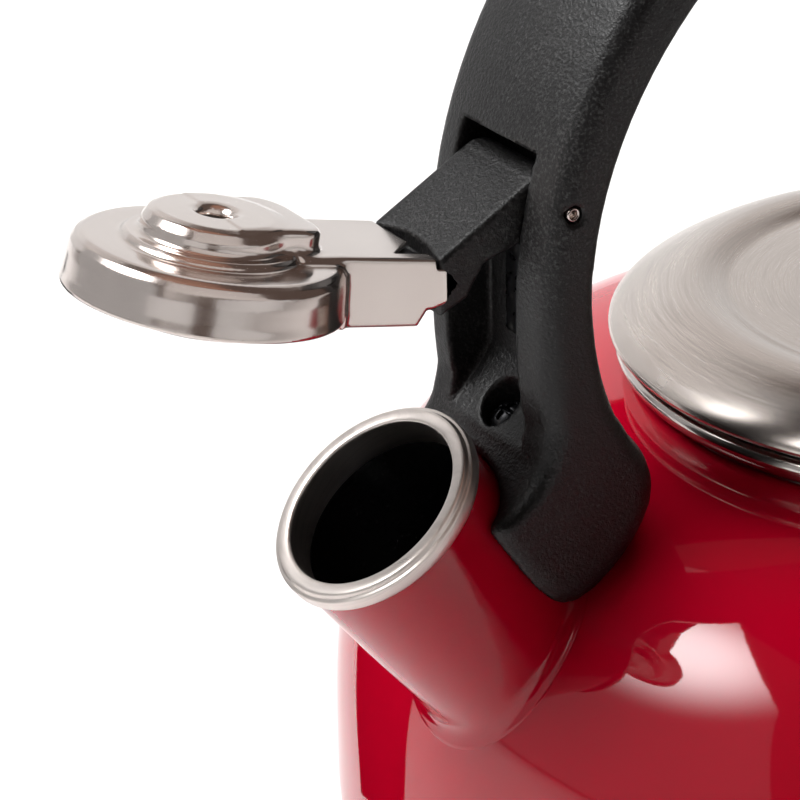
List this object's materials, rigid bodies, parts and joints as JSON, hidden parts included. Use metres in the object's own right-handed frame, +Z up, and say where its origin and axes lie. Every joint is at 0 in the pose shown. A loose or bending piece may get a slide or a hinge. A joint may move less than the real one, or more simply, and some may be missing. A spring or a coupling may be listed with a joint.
{
  "type": "stovetop whistling kettle",
  "caption": "Round enamelled stovetop kettle with a short spout, a flip-up whistle cap on a pinned lever, a slotted arched handle and a lift-off steel lid.",
  "frame": {"origin": "centre of the flat underside of the base, where the kettle stands", "axes": "+Z up, -X out along the spout, XZ the plane of symmetry"},
  "size_m": [0.2802, 0.222, 0.252],
  "materials": {
    "red_enamel": "glossy vitreous enamel, deep red",
    "satin_steel": "satin, fine turned grain",
    "polished_steel": "polished stainless steel",
    "black_nylon": "fine-grained matte black nylon",
    "black_steel": "blackened steel"
  },
  "bodies": {
    "kettle": {"body_shell": "red_enamel", "base_pan": "satin_steel", "spout_tube": "red_enamel", "spout_rim_ring": "satin_steel", "mouth_collar_ring": "satin_steel", "handle_shell": "black_nylon", "handle_inner_cover": "black_nylon", "grip_screw_1": "black_steel", "grip_screw_2": "black_steel", "grip_screw_3": "black_steel", "pivot_pin": "polished_steel", "lever_detent_spring": "polished_steel", "front_foot_bracket": "satin_steel", "rear_foot_bracket": "satin_steel", "front_foot_screw": "black_steel", "rear_foot_screw": "black_steel"},
    "lid": {"lid_shell": "satin_steel", "lid_plug_ring": "satin_steel", "knob_ferrule": "satin_steel", "lid_knob": "black_nylon", "knob_screw": "satin_steel"},
    "whistle": {"whistle_lever": "black_nylon", "whistle_cap": "polished_steel", "whistle_cup": "satin_steel", "whistle_plate": "satin_steel"}
  },
  "joints": [
    {"name": "lid_lift", "type": "slide", "parent": "kettle", "child": "lid", "axis": [0, 0, 1], "range_m": [0, 0.045]},
    {"name": "whistle_hinge", "type": "hinge", "parent": "kettle", "child": "whistle", "pos_m": [-0.0938, 0, 0.181], "axis": [0, 1, 0], "range_deg": [-51, 5]}
  ]
}
